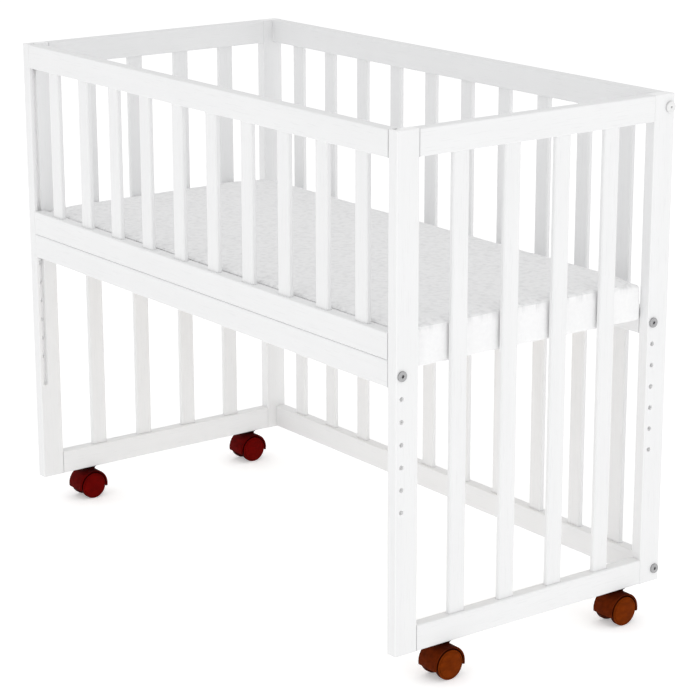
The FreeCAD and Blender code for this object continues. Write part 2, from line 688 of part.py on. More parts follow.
def make_hood(label, x, y):
    """The moulded hood: a centre web with the axle and stem bores, a skin over each wheel, a neck.

    Its own origin is the middle of the axle."""
    body = new_body(label, x, f"{y} - Sizes.axle_back", WHEEL_RADIUS)
    side = new_sketch(body, "SideView", "x")
    draw_hood_side(side)
    over_wheels = "Sizes.web_thick + 2 * (Sizes.wheel_gap + Sizes.wheel_wide)"
    hood_wide = f"({over_wheels} - 2 * Sizes.hood_short)"
    pad(body, side, hood_wide, both_ways=True)
    neck = new_sketch(body, "Neck", "z")
    draw_circle(neck, "Sizes.stem_across / 2 + Sizes.neck_wall", y="Sizes.axle_back")
    neck_top = f"({AXLE_DROP} - Sizes.flange_thick - Sizes.neck_gap)"
    pad(body, neck, neck_top)
    well = new_sketch(body, "WheelWell", "x", z="Sizes.web_thick / 2")
    draw_circle(well, f"{HOOD_RADIUS} - Sizes.hood_skin")
    well_cut = pocket(body, well, hood_wide, along_normal=True)
    mirror(body, [well_cut])
    axle = new_sketch(body, "AxleBore", "x")
    draw_circle(axle, "Sizes.axle_across / 2 + Sizes.thread_gap")
    pocket(body, axle, "2 * Sizes.web_thick", both_ways=True)
    stem = new_sketch(body, "StemBore", "z", z=neck_top)
    draw_circle(stem, "Sizes.stem_across / 2 + Sizes.thread_gap", y="Sizes.axle_back")
    pocket(body, stem, "Sizes.stem_in_hood")


def make_stem(label, x, y):
    """The steel stem, seated in the hood's neck and turning in its socket."""
    body = new_body(label, x, y, FOOT)
    radius = "Sizes.stem_across / 2"
    low = "(Sizes.flange_thick + Sizes.neck_gap + Sizes.stem_in_hood)"
    top = f"({SOCKET_DEEP} - Sizes.socket_end - Sizes.neck_gap)"
    section = new_sketch(body, "Section", "z", z=f"-{low}")
    draw_circle(section, radius)
    pad(body, section, f"{low} + {top}")


def make_axle(label, x, y):
    """The axle pin that both wheels turn on."""
    body = new_body(label, x, f"{y} - Sizes.axle_back", WHEEL_RADIUS)
    section = new_sketch(body, "Section", "x")
    draw_circle(section, "Sizes.axle_across / 2")
    half = "(Sizes.web_thick / 2 + Sizes.wheel_gap + Sizes.axle_reach - Sizes.axle_end_gap)"
    pad(body, section, f"2 * {half}", both_ways=True)


def make_casters():
    """Four casters, all trailing to the front as they stand."""
    make_caster_sockets()
    for end, x, outer_turn in (("left", f"-{END_LINE}", 180), ("right", END_LINE, 0)):
        for side, y in (("front", "(Sizes.front_caster_in - Sizes.depth / 2)"),
                        ("back", "(Sizes.depth / 2 - Sizes.back_caster_in)")):
            name = f"{end}_{side}_caster"
            make_stem(f"{name}_stem", x, y)
            make_hood(f"{name}_hood", x, y)
            make_axle(f"{name}_axle", x, y)
            make_wheel(f"{name}_outer_wheel", x, y, outer_turn)
            make_wheel(f"{name}_inner_wheel", x, y, 180 - outer_turn)


def check_model():
    """Stop if any object failed or any piece is not a sound solid."""
    doc.recompute()
    for item in doc.Objects:
        if "Invalid" in item.State or "Error" in item.State:
            raise RuntimeError(f"{item.Label}: {item.getStatusString()}")
    for piece in kept:
        if piece.Shape.isNull() or not piece.Shape.isValid() or not piece.Shape.Solids:
            raise RuntimeError(f"{piece.Label} is not a valid solid")


def write_pieces():
    """One file for each piece, named by its label."""
    os.makedirs("parts", exist_ok=True)
    for piece in kept:
        piece.Shape.exportStep(f"parts/{piece.Label}.step")


sheet = make_sheet()
make_end_panels()
make_back_panel()
make_base()
make_mattress(sheet)
make_front_guard()
make_casters()
check_model()
write_pieces()
print(f"{len(kept)} pieces written")
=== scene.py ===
import math

import bmesh
import bpy
import numpy as np
from mathutils import Matrix, Vector, noise
from mathutils.bvhtree import BVHTree


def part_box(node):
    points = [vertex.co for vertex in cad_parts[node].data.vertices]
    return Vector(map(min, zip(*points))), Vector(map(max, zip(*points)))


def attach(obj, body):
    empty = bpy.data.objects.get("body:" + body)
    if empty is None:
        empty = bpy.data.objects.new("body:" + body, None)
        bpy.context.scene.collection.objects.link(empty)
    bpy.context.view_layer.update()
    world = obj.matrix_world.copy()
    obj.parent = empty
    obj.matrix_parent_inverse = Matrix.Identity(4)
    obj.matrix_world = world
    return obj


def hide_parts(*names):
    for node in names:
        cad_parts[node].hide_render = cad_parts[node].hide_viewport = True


# A white bedside crib on four twin-wheel casters. The wood pieces come with the frame and get
# their lacquer here. The casters' hoods and wheels, the bolts, the caps and the mattress are
# modelled here in full.

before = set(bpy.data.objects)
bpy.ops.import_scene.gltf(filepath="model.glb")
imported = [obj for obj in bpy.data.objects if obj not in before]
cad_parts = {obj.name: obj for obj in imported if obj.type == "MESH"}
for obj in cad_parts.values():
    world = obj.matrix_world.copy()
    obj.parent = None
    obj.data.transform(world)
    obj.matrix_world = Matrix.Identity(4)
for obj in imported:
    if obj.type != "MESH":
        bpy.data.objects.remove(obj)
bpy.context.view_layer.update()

MM = 0.001
ENDS = ("left", "right")
CASTERS = [f"{end}_{side}_caster" for end in ENDS for side in ("front", "back")]
QUARTER_TURN = math.pi / 2
MIX_SHARE, MIX_FIRST, MIX_SECOND, MIX_COLOUR = 0, 6, 7, 2

# the lacquer's dark line at a joint, and how far past an edge the painted light in grooves and holes
# starts and fades in
JOINT_LINE = 0.55 * MM
RECESS_LIGHT_CLEAR = 0.2 * MM
RECESS_LIGHT_FADE = 0.5 * MM

# casters; the wheel's face is (inset, rise) in mm from the rim to the middle: a groove, then a disc
TREAD_WIDE = 7.5 * MM
WHEEL_FACE = ((2.2, 0), (0.25, -0.55), (0.45, 0), (0.25, 0.70), (3.0, 0.42), (3.6, 0.36),
              (4.0, 0.26), (4.0, 0.14), (2.6, 0.05))
WHEEL_BACK_RADIUS = 17 * MM
WHEEL_HUB_RADIUS = 9 * MM
WHEEL_FROM_MIDDLE = 5.6 * MM
AXLE_BORE_RADIUS = 3.07 * MM
AXLE_BORE_DEEP = 11 * MM
HOOD_RADIUS = 27 * MM
HOOD_SKIN = 3.2 * MM
HOOD_WEB = 10 * MM
HOOD_LIP_DROP = 5 * MM
HOOD_SHADED_DEPTH = 8 * MM
NECK_RADIUS = 4.8 * MM
NECK_TALL = 8 * MM
NECK_BACK = 8 * MM

# bolts and caps
HEAD_RADIUS = 7.3 * MM
HEAD_THICK = 2.4 * MM
FRAME_HEAD_RADIUS = 8.25 * MM
SHANK_RADIUS = 3 * MM
BOLT_LONG = 34 * MM
BOLT_TIP = 1.0 * MM
KEY_ACROSS = 4.2 * MM
KEY_DEEP = 3.4 * MM
CAP_RADIUS = HEAD_RADIUS + 0.9 * MM
CAP_WALL = 0.8 * MM
CAP_SKIRT = 0.7 * MM
CAP_RIM = 1.4 * MM
CAP_HOLE_RADIUS = 1.7 * MM
CAP_HOLE_DEEP = 0.65 * MM
END_FACE = 490 * MM

# mattress
CROWN = 3 * MM
SIDE_DRAW = 2 * MM
PAD_EDGE_RADIUS = 5.5 * MM
PAD_LAYERS = 16
PAD_CROWDING = (1.7, 1.7, 1.3)
TOP_ZONE = 12 * MM
SOFT_REACH = 60 * MM
SWELL_FRAMES = 20
SEAM_BELOW_TOP = 6.5 * MM
SEAM_REACH = 11 * MM
# how far from the seam the painted shade of the puckers reaches
SEAM_SHADE_REACH = 12 * MM
SIDE_REACH = 10 * MM
CORNER_REACH = 72 * MM
CORNER_SINK = 6.5 * MM
COVER_MARGIN = 0.3 * MM
POST_CLEAR = 1 * MM
POST_BLEND = 24 * MM
PIPING_RADIUS = 1.0 * MM
PIPING_ROOM = 1.3 * MM
PIPING_TURN = 24 * MM
PIPING_FROM = 80 * MM


# ---------------------------------------------------------------- shader maths

class Amount:
    """A value that changes over a surface. Sums and products of it add the nodes."""

    def __init__(self, finish, socket):
        self.finish = finish
        self.socket = socket

    def maths(self, operation, *values):
        return self.finish.node("ShaderNodeMath", {"operation": operation}, *values)

    def __add__(self, other):
        return self.maths("ADD", self, other)

    def __radd__(self, other):
        return self.maths("ADD", other, self)

    def __sub__(self, other):
        return self.maths("SUBTRACT", self, other)

    def __rsub__(self, other):
        return self.maths("SUBTRACT", other, self)

    def __mul__(self, other):
        return self.maths("MULTIPLY", self, other)

    def __rmul__(self, other):
        return self.maths("MULTIPLY", other, self)

    def __truediv__(self, other):
        return self.maths("DIVIDE", self, other)

    def __rtruediv__(self, other):
        return self.maths("DIVIDE", other, self)

    def __abs__(self):
        return self.maths("ABSOLUTE", self)

    def kept_in(self, low, high):
        """This value held between two numbers."""
        return self.maths("MINIMUM", self.maths("MAXIMUM", self, low), high)


def socket_name(word):
    """What a node's socket is called, for a word that names it in the code."""
    return word.replace("_", " ").title().replace("Ior", "IOR")


class Finish:
    """One material: a principled surface, and the nodes that vary it."""

    def __init__(self, name, **constants):
        self.material = bpy.data.materials.new(name)
        self.material.use_nodes = True
        self.tree = self.material.node_tree
        self.tree.nodes.clear()
        self.surface = self.tree.nodes.new("ShaderNodeBsdfPrincipled")
        output = self.tree.nodes.new("ShaderNodeOutputMaterial")
        self.tree.links.new(self.surface.outputs[0], output.inputs[0])
        for name, value in constants.items():
            self.surface.inputs[socket_name(name)].default_value = value

    def node(self, kind, settings, *values, output=0, **named):
        """Adds one node: its settings first, then its sockets, by order or by name."""
        made = self.tree.nodes.new(kind)
        for key, value in settings.items():
            setattr(made, key, value)
        by_name = {socket_name(key): value for key, value in named.items()}
        for place, value in [*enumerate(values), *by_name.items()]:
            self.feed(made.inputs[place], value)
        return Amount(self, made.outputs[output])

    def feed(self, socket, value):
        """Links a value to a socket, or sets the socket to a number or colour."""
        if isinstance(value, Amount):
            self.tree.links.new(value.socket, socket)
        elif socket.type == "RGBA" and len(value) == 3:
            socket.default_value = (*value, 1)
        else:
            socket.default_value = value

    def give(self, **sockets):
        """Feeds the surface's own sockets."""
        for name, value in sockets.items():
            self.feed(self.surface.inputs[socket_name(name)], value)

    def place(self, stretch=(1, 1, 1)):
        """Where a point is on the object, squeezed along each axis."""
        spot = self.node("ShaderNodeTexCoord", {}, output="Object")
        return self.node("ShaderNodeMapping", {}, spot, Scale=stretch)

    def along(self, axis):
        """One coordinate of the point, in metres."""
        return self.node("ShaderNodeSeparateXYZ", {}, self.place(), output="XYZ".index(axis))

    def cloud(self, place, scale, detail=2.0, rough=0.5):
        """Soft noise from 0 to 1."""
        return self.node("ShaderNodeTexNoise", {}, Vector=place, Scale=scale, Detail=detail,
                         Roughness=rough)

    def blend(self, share, first, second):
        """Two colours mixed by a share."""
        made = self.node("ShaderNodeMix", {"data_type": "RGBA"}, output=MIX_COLOUR)
        sockets = made.socket.node.inputs
        for place, value in ((MIX_SHARE, share), (MIX_FIRST, first), (MIX_SECOND, second)):
            self.feed(sockets[place], value)
        return made

    def bump(self, height, depth, strength=1.0):
        """A relief whose full height is depth in metres."""
        return self.node("ShaderNodeBump", {}, Strength=strength, Distance=depth, Height=height)


# ---------------------------------------------------------------- finishes

def near(spot, level, reach):
    """1 at a level of a coordinate, fading to 0 at reach from it."""
    return 1 - (abs(spot - level) / reach).kept_in(0, 1)


def lacquer(name, run, seams=(), recess_light_box=()):
    """White lacquer over wood whose grain runs along one axis.

    seams are (axis, level) places where two pieces meet and the lacquer has a fine dark line.
    The piece's box, given as (axis, middle, half), marks what is cut into it: there painted light, a
    whiter colour, lifts the shade of grooves and holes."""
    finish = Finish(name, specular_ior_level=0.4, coat_roughness=0.3, ior=1.5)
    squeeze = [0.04 if axis == run else 1.0 for axis in "XYZ"]
    grain_place = finish.place(squeeze)
    pores = finish.cloud(grain_place, 620, 3.0, 0.6)
    waves = finish.cloud(grain_place, 70, 2.0, 0.5)
    peel = finish.cloud(finish.place(), 480, 2.0, 0.4)
    tone = finish.cloud(finish.place(), 6.5, 3.0, 0.55)
    shade = (tone * 0.6 + waves * 0.4).kept_in(0, 1)
    colour = finish.blend(shade, (0.815, 0.818, 0.822), (0.895, 0.897, 0.90))
    colour = finish.blend(((pores - 0.60) * 5).kept_in(0, 0.22), colour, (0.70, 0.70, 0.705))
    height = pores * 0.5 + waves * 0.3 + peel * 0.2
    for axis, level in seams:
        line = near(finish.along(axis), level, JOINT_LINE)
        colour = finish.blend(line * 0.45, colour, (0.45, 0.45, 0.46))
        height = height - line
    # painted light: surfaces cut into the piece, such as grooves and holes, get a whiter colour that
    # lifts their shade
    if recess_light_box:
        inside = 1
        for axis, middle, half in recess_light_box:
            under = half - abs(abs(finish.along(axis)) - middle)
            inside = inside * ((under - RECESS_LIGHT_CLEAR) / RECESS_LIGHT_FADE).kept_in(0, 1)
        colour = finish.blend(inside, colour, (0.97, 0.97, 0.972))
    finish.give(base_color=colour, roughness=0.34 + pores * 0.10 + tone * 0.06,
                normal=finish.bump(height, 0.06 * MM, 0.55))
    return finish.material


def zinc_steel():
    """Zinc-plated steel with fine marks."""
    finish = Finish("zinc_steel_finish", metallic=1.0)
    marks = finish.cloud(finish.place((1, 9, 1)), 900, 3.0, 0.65)
    cloudy = finish.cloud(finish.place(), 260, 2.0)
    colour = finish.blend(cloudy, (0.33, 0.33, 0.335), (0.47, 0.47, 0.475))
    finish.give(base_color=colour, roughness=0.26 + marks * 0.18,
                normal=finish.bump(marks, 0.02 * MM, 0.4))
    return finish.material


def moulded_plastic(name, dark, light, shine=0.25, rough=0.42, painted_shade_colour=None):
    """Moulded plastic with slow streaks of colour and a fine eroded surface.

    The last colour, if given, is painted shade, laid on pieces that store in their depth attribute how
    much of it each point gets: gaps and shaded places."""
    finish = Finish(name, specular_ior_level=shine)
    streaks = finish.cloud(finish.place((1, 0.5, 1)), 130, 4.0, 0.6)
    grain = finish.cloud(finish.place(), 1900, 2.0, 0.5)
    share = ((streaks - 0.32) * 2.4).kept_in(0, 1)
    colour = finish.blend(share, dark, light)
    # painted shade: the depth attribute darkens gaps and shaded places towards the last colour
    if painted_shade_colour:
        depth = finish.node("ShaderNodeAttribute", {"attribute_name": "depth"}, output="Fac")
        colour = finish.blend(depth, colour, painted_shade_colour)
    finish.give(base_color=colour, roughness=rough + grain * 0.14,
                normal=finish.bump(grain, 0.03 * MM, 0.5))
    return finish.material


def caster_plastics(name, hood, wheel, painted_shade_colour):
    """The plastic of a caster's hood, and the lighter one of its wheels, both darkened by painted shade
    in their gaps.
    """
    made = []
    for part, light in (("hood", hood), ("wheel", wheel)):
        dark = [0.62 * channel for channel in light]
        made.append(moulded_plastic(f"{name}_{part}_plastic", dark, light, 0.02, 0.5, painted_shade_colour))
    return made


def bare_beech(name, run):
    """Unpainted beech with its grain along one axis and short dark flecks."""
    finish = Finish(name, specular_ior_level=0.3)
    squeeze = [0.03 if axis == run else 1.0 for axis in "XYZ"]
    place = finish.place(squeeze)
    bands = finish.cloud(place, 55, 4.0, 0.6)
    fibres = finish.cloud(place, 700, 2.0, 0.5)
    flecks = ((finish.cloud(place, 320, 1.0, 0.4) - 0.62) * 9).kept_in(0, 1)
    colour = finish.blend(bands, (0.75, 0.68, 0.59), (0.83, 0.775, 0.70))
    colour = finish.blend(flecks * 0.5, colour, (0.50, 0.40, 0.30))
    finish.give(base_color=colour, roughness=0.50 + fibres * 0.18,
                normal=finish.bump(fibres + bands * 0.4, 0.05 * MM, 0.6))
    return finish.material


def mattress_cloth(seam_level):
    """A soft white woven cover that puckers along its stitched seam, with painted shade in the puckers.
    """
    finish = Finish("mattress_cover_finish", specular_ior_level=0.2, sheen_weight=0.25,
                    sheen_roughness=0.45)
    across, along, upright = (
        finish.node("ShaderNodeTexWave", {"bands_direction": axis}, Vector=finish.place(),
                    Scale=210, Distortion=1.2, Detail=2.0) for axis in "XYZ")
    weave = across * along * 0.6 + upright * 0.25
    fluff = finish.cloud(finish.place(), 900, 3.0, 0.6)
    close = near(finish.along("Z"), seam_level, SEAM_SHADE_REACH)
    pucker = finish.cloud(finish.place((1, 1, 0.15)), 120, 2.0, 0.5) * close
    tone = ((finish.cloud(finish.place(), 150, 5.0, 0.75) - 0.3) * 2.2).kept_in(0, 1)
    colour = finish.blend(tone, (0.90, 0.90, 0.905), (0.965, 0.965, 0.965))
    colour = finish.blend(weave * 0.18, colour, (0.79, 0.79, 0.80))
    # painted shade: a dark band along the seam, broken up by the puckers
    colour = finish.blend(((0.55 * close - pucker) * 1.8).kept_in(0, 0.5), colour, (0.55, 0.55, 0.56))
    finish.give(base_color=colour, roughness=0.86 + fluff * 0.10,
                normal=finish.bump(weave + fluff * 0.5 + pucker * 7, 0.25 * MM, 0.7))
    return finish.material


# ---------------------------------------------------------------- modelling by hand

def lay_down():
    """Nothing is selected and nothing is being edited."""
    if bpy.context.object and bpy.context.object.mode != "OBJECT":
        bpy.ops.object.mode_set(mode="OBJECT")
    for thing in bpy.context.selected_objects:
        thing.select_set(False)


def take_up(piece):
    """Makes one piece the only selected and active one."""
    lay_down()
    piece.select_set(True)
    bpy.context.view_layer.objects.active = piece


def start_piece(name, primitive, **facts):
    """A primitive at its size and place, with the place in its mesh."""
    lay_down()
    primitive(**facts)
    piece = bpy.context.object
    piece.name = piece.data.name = name
    bpy.ops.object.transform_apply(location=True, rotation=True, scale=True)
    return piece


def start_round(name, radius, long, middle_x, sides):
    """A cylinder lying along X."""
    return start_piece(name, bpy.ops.mesh.primitive_cylinder_add, vertices=sides, radius=radius,
                       depth=long, end_fill_type="NGON", rotation=(0, QUARTER_TURN, 0),
                       location=(middle_x, 0, 0))


def edit(piece):
    """Opens a piece for editing by its faces, with nothing selected."""
    take_up(piece)
    bpy.ops.object.mode_set(mode="EDIT")
    bpy.ops.mesh.select_mode(type="FACE")
    bpy.ops.mesh.select_all(action="DESELECT")


def pick_faces(piece, wanted):
    """Selects only the faces whose middle and normal are wanted."""
    bpy.ops.mesh.select_all(action="DESELECT")
    mesh = bmesh.from_edit_mesh(piece.data)
    for face in mesh.faces:
        if wanted(face.calc_center_median(), face.normal):
            face.select_set(True)
    bmesh.update_edit_mesh(piece.data)


def pick_edges(piece, wanted):
    """Selects only the edges whose two ends are wanted."""
    bpy.ops.mesh.select_all(action="DESELECT")
    mesh = bmesh.from_edit_mesh(piece.data)
    for line in mesh.edges:
        if wanted(*(end.co for end in line.verts)):
            line.select_set(True)
    bmesh.update_edit_mesh(piece.data)


def push(x=0.0, z=0.0):
    """Extrudes what is selected by a distance."""
    bpy.ops.mesh.extrude_region_move(TRANSFORM_OT_translate={"value": (x, 0, z)})


def step_in(distance, x=0.0):
    """Insets the selected face and moves it along X."""
    bpy.ops.mesh.inset(thickness=distance, depth=0)
    bpy.ops.transform.translate(value=(x, 0, 0))


def finish_with(piece, kind, **settings):
    """Adds a modifier and applies it."""
    take_up(piece)
    modifier = piece.modifiers.new(kind.title(), kind)
    for key, value in settings.items():
        setattr(modifier, key, value)
    bpy.ops.object.modifier_apply(modifier=modifier.name)


def soften(piece, angle):
    """Smooth shading with crisp edges past an angle."""
    take_up(piece)
    bpy.ops.object.shade_smooth_by_angle(angle=math.radians(angle))


def mark_painted_shade(piece, measure):
    """Stores how much painted shade each point gets: 0 in the open, 1 at the bottom of a gap or where it
    is fully shaded.
    """
    layer = piece.data.attributes.new("depth", "FLOAT", "POINT")
    layer.data.foreach_set("value", [float(measure(*point.co)) for point in piece.data.vertices])


def copy_at(master, name, place, mirrored=False):
    """A copy with its own mesh, mirrored in X first if asked, moved to its place."""
    mesh = master.data.copy()
    mesh.name = name
    if mirrored:
        mesh.transform(Matrix.Scale(-1, 4, Vector((1, 0, 0))))
        mesh.flip_normals()
    mesh.transform(Matrix.Translation(place))
    made = bpy.data.objects.new(name, mesh)
    bpy.context.scene.collection.objects.link(made)
    return made


def coat(piece, material):
    """Gives a piece one material all over."""
    piece.data.materials.clear()
    piece.data.materials.append(material)


def fit_out(piece, body, material, stands_for=()):
    """Gives a piece its material, its body and the frame pieces it stands for."""
    coat(piece, material)
    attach(piece, body)
    if stands_for:
        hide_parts(*stands_for)


# ---------------------------------------------------------------- casters

def model_wheel(radius, wide):
    """One wheel along X, its inner face at 0: a tread, a taper behind it, a groove, a dished disc."""
    wheel = start_round("wheel_master", radius, TREAD_WIDE, wide - TREAD_WIDE / 2, 80)
    edit(wheel)
    pick_faces(wheel, lambda middle, way: way.x < -0.9)
    push(x=TREAD_WIDE - wide)
    shrink = WHEEL_BACK_RADIUS / radius
    bpy.ops.transform.resize(value=(1, shrink, shrink), center_override=(0, 0, 0))
    pick_faces(wheel, lambda middle, way: way.x > 0.9)
    for inward, rise in WHEEL_FACE:
        step_in(inward * MM, rise * MM)
    pick_faces(wheel, lambda middle, way: way.x < -0.9)
    step_in(WHEEL_BACK_RADIUS - WHEEL_HUB_RADIUS)
    step_in(0.8 * MM)
    step_in(WHEEL_HUB_RADIUS - 0.8 * MM - AXLE_BORE_RADIUS)
    push(x=AXLE_BORE_DEEP)
    bpy.ops.mesh.select_mode(type="EDGE")
    shoulder = radius - 0.02 * MM
    pick_edges(wheel, lambda a, b: abs(a.x - b.x) < 1e-6
               and min(math.hypot(a.y, a.z), math.hypot(b.y, b.z)) > shoulder)
    bpy.ops.mesh.bevel(offset=1.4 * MM, segments=5, profile=0.5, affect="EDGES")
    soften(wheel, 30)
    # painted shade: every point except those of the open outer face is darkened, so the tread, the
    # rounded shoulder and the back
    open_face = wide - 0.9 * MM
    mark_painted_shade(wheel, lambda x, y, z: 0 if x > open_face else 0.85)
    return wheel


def model_hood(wide, neck_top):
    """The moulded hood round the axle: a skin over each wheel, a web between them, a neck on top."""
    hood = start_round("hood_master", HOOD_RADIUS, wide, 0, 120)
    edit(hood)
    for side in (1, -1):
        pick_faces(hood, lambda middle, way: way.x * side > 0.9)
        step_in(HOOD_SKIN)
        push(x=-side * (wide - HOOD_WEB) / 2)
    bpy.ops.mesh.select_all(action="SELECT")
    bpy.ops.mesh.bisect(plane_co=(0, 0, -HOOD_LIP_DROP), plane_no=(0, 0, -1), use_fill=True,
                        clear_outer=True)
    neck = start_piece("neck", bpy.ops.mesh.primitive_cylinder_add, vertices=64,
                       radius=NECK_RADIUS, depth=NECK_TALL, end_fill_type="NGON",
                       location=(0, NECK_BACK, neck_top - NECK_TALL / 2))
    edit(neck)
    pick_faces(neck, lambda middle, way: way.z > 0.9)
    bpy.ops.mesh.bevel(offset=0.5 * MM, segments=2, affect="EDGES")
    lay_down()
    finish_with(hood, "BEVEL", width=0.7 * MM, segments=3, limit_method="ANGLE",
                angle_limit=math.radians(40))
    finish_with(hood, "BOOLEAN", operation="UNION", object=neck, solver="EXACT")
    bpy.data.objects.remove(neck)
    soften(hood, 30)
    # painted shade: full in the well round the wheels, and growing towards the top, where the rail above
    # shades the hood
    shaded_from, well = HOOD_RADIUS - HOOD_SHADED_DEPTH, HOOD_RADIUS - HOOD_SKIN + 0.2 * MM

    def depth(x, y, z):
        if math.hypot(y, z) < well:
            return 1
        return 0.9 * min(1, max(0, (z - shaded_from) / (HOOD_RADIUS - shaded_from)))

    mark_painted_shade(hood, depth)
    return hood


def make_casters(red, brown):
    """Four casters in the places of the frame's own: red ones at the left, brown at the right.

    red and brown are each the plastic of the hoods and the plastic of the wheels."""
    low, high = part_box("right_front_caster_outer_wheel")
    axle_up = (high.z - low.z) / 2
    wheel = model_wheel(axle_up, high.x - low.x)
    low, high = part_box("right_front_caster_hood")
    hood = model_hood(high.x - low.x, high.z - axle_up)
    for name in CASTERS:
        at_left = name.startswith("left")
        hood_plastic, wheel_plastic = red if at_left else brown
        low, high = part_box(f"{name}_hood")
        middle = Vector(((low.x + high.x) / 2, low.y + HOOD_RADIUS, axle_up))
        shell = copy_at(hood, f"{name}_hood_shell", middle)
        fit_out(shell, name, hood_plastic, [f"{name}_hood"])
        outward = -1 if at_left else 1
        for which, side in (("outer", outward), ("inner", -outward)):
            place = middle + Vector((side * WHEEL_FROM_MIDDLE, 0, 0))
            disc = copy_at(wheel, f"{name}_{which}_disc", place, mirrored=side < 0)
            fit_out(disc, f"{name}_{which}_wheel_body", wheel_plastic,
                    [f"{name}_{which}_wheel"])
    for master in (wheel, hood):
        bpy.data.objects.remove(master)


# ---------------------------------------------------------------- bolts and caps

def model_bolt():
    """A flat-headed bolt along X with its head's underside at 0 and a six-sided key socket."""
    bolt = start_round("bolt_master", HEAD_RADIUS, HEAD_THICK, HEAD_THICK / 2, 64)
    edit(bolt)
    pick_faces(bolt, lambda middle, way: way.x < -0.9)
    step_in(HEAD_RADIUS - SHANK_RADIUS)
    push(x=-(BOLT_LONG - BOLT_TIP))
    step_in(0.6 * MM, -BOLT_TIP)
    bpy.ops.mesh.select_mode(type="EDGE")
    pick_edges(bolt, lambda a, b: min(a.x, b.x) > HEAD_THICK - 1e-6)
    bpy.ops.mesh.bevel(offset=0.9 * MM, segments=4, profile=0.6, affect="EDGES")
    lay_down()
    cutter = start_round("key_cutter", KEY_ACROSS / math.sqrt(3), 2 * KEY_DEEP, HEAD_THICK, 6)
    finish_with(bolt, "BOOLEAN", operation="DIFFERENCE", object=cutter, solver="EXACT")
    bpy.data.objects.remove(cutter)
    finish_with(bolt, "BEVEL", width=0.15 * MM, segments=2, limit_method="ANGLE",
                angle_limit=math.radians(50))
    soften(bolt, 30)
    return bolt


def row_places(low, high, radius):
    """The middles of the one or two round things that fill a span."""
    if high - low < 3 * radius:
        return [(low + high) / 2]
    return [low + radius, high - radius]


def make_bolts(steel):
    """The four height bolts and the back panel's four bolts, one piece for each."""
    bolt = model_bolt()
    for node, body in (("height_bolts", "base"), ("back_panel_bolts", "frame")):
        low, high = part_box(node)
        face = high.x - HEAD_THICK
        made = []
        for y in row_places(low.y, high.y, FRAME_HEAD_RADIUS):
            for z in row_places(low.z, high.z, FRAME_HEAD_RADIUS):
                for side in (1, -1):
                    name = f"{node}_{len(made) + 1}"
                    place = Vector((side * face, y, z))
                    made.append(copy_at(bolt, name, place, mirrored=side < 0))
        for piece in made:
            fit_out(piece, body, steel)
        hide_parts(node)
    bpy.data.objects.remove(bolt)


def make_caps(plastic):
    """The thin cover caps over the back panel's upper bolts, each with a small hole in its middle."""
    low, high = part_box("bolt_caps")
    tall = high.x - END_FACE
    cap = start_round("cap_master", CAP_RADIUS, tall, tall / 2, 64)
    edit(cap)
    pick_faces(cap, lambda middle, way: way.x > 0.9)
    step_in(CAP_RIM)
    step_in(CAP_RADIUS - CAP_RIM - CAP_HOLE_RADIUS)
    push(x=-CAP_HOLE_DEEP)
    pick_faces(cap, lambda middle, way: way.x < -0.9)
    step_in(CAP_SKIRT)
    push(x=tall - CAP_WALL)
    bpy.ops.mesh.select_mode(type="EDGE")
    pick_edges(cap, lambda a, b: min(a.x, b.x) > tall - 1e-6
               and min(math.hypot(a.y, a.z), math.hypot(b.y, b.z)) > CAP_RADIUS - 1e-5)
    bpy.ops.mesh.bevel(offset=1.0 * MM, segments=4, profile=0.6, affect="EDGES")
    soften(cap, 30)

    # painted shade: the rim's side against the wood and the inside of the hole are darkened
    def depth(x, y, z):
        in_hole = x < tall - 0.3 * MM and math.hypot(y, z) < CAP_HOLE_RADIUS + 0.3 * MM
        return x < 0.1 * MM or in_hole

    mark_painted_shade(cap, depth)
    middle_y, middle_z = (low.y + high.y) / 2, (low.z + high.z) / 2
    for side, end in ((1, "right"), (-1, "left")):
        place = Vector((side * END_FACE, middle_y, middle_z))
        made = copy_at(cap, f"{end}_bolt_cap", place, mirrored=side < 0)
        fit_out(made, "frame", plastic, ["bolt_caps"] if side > 0 else ())
    bpy.data.objects.remove(cap)


# ---------------------------------------------------------------- mattress

def points_of(pad):
    """The places of all of a cover's points."""
    return np.array([point.co for point in pad.data.vertices])


def move_points(pad, spots):
    """Gives all of a cover's points new places."""
    pad.data.vertices.foreach_set("co", spots.astype(np.float32).ravel())
    pad.data.update()


def swell(pad, pressure, most):
    """Inflates a closed cover by cloth simulation and holds each point's move to a limit."""
    before = points_of(pad)
    take_up(pad)
    cloth = pad.modifiers.new("Cover", "CLOTH")
    settings = cloth.settings
    settings.quality = 5
    settings.mass = 0.3
    settings.tension_stiffness = settings.compression_stiffness = 12
    settings.bending_stiffness = 0.4
    settings.use_pressure = True
    settings.uniform_pressure_force = pressure
    settings.effector_weights.gravity = 0
    cloth.point_cache.frame_start = 1
    cloth.point_cache.frame_end = SWELL_FRAMES
    for number in range(1, SWELL_FRAMES + 1):
        bpy.context.scene.frame_set(number)
    bpy.ops.object.modifier_apply(modifier=cloth.name)
    bpy.context.scene.frame_set(1)
    move = points_of(pad) - before
    far = np.linalg.norm(move, axis=1, keepdims=True)
    move *= np.minimum(1, most / np.maximum(far, 1e-9))
    move_points(pad, before + move)


def gather(share, crowd):
    """Spreads even shares from -1 to 1 so that they lie closer together near both ends."""
    return np.tanh(crowd * share) / math.tanh(crowd)


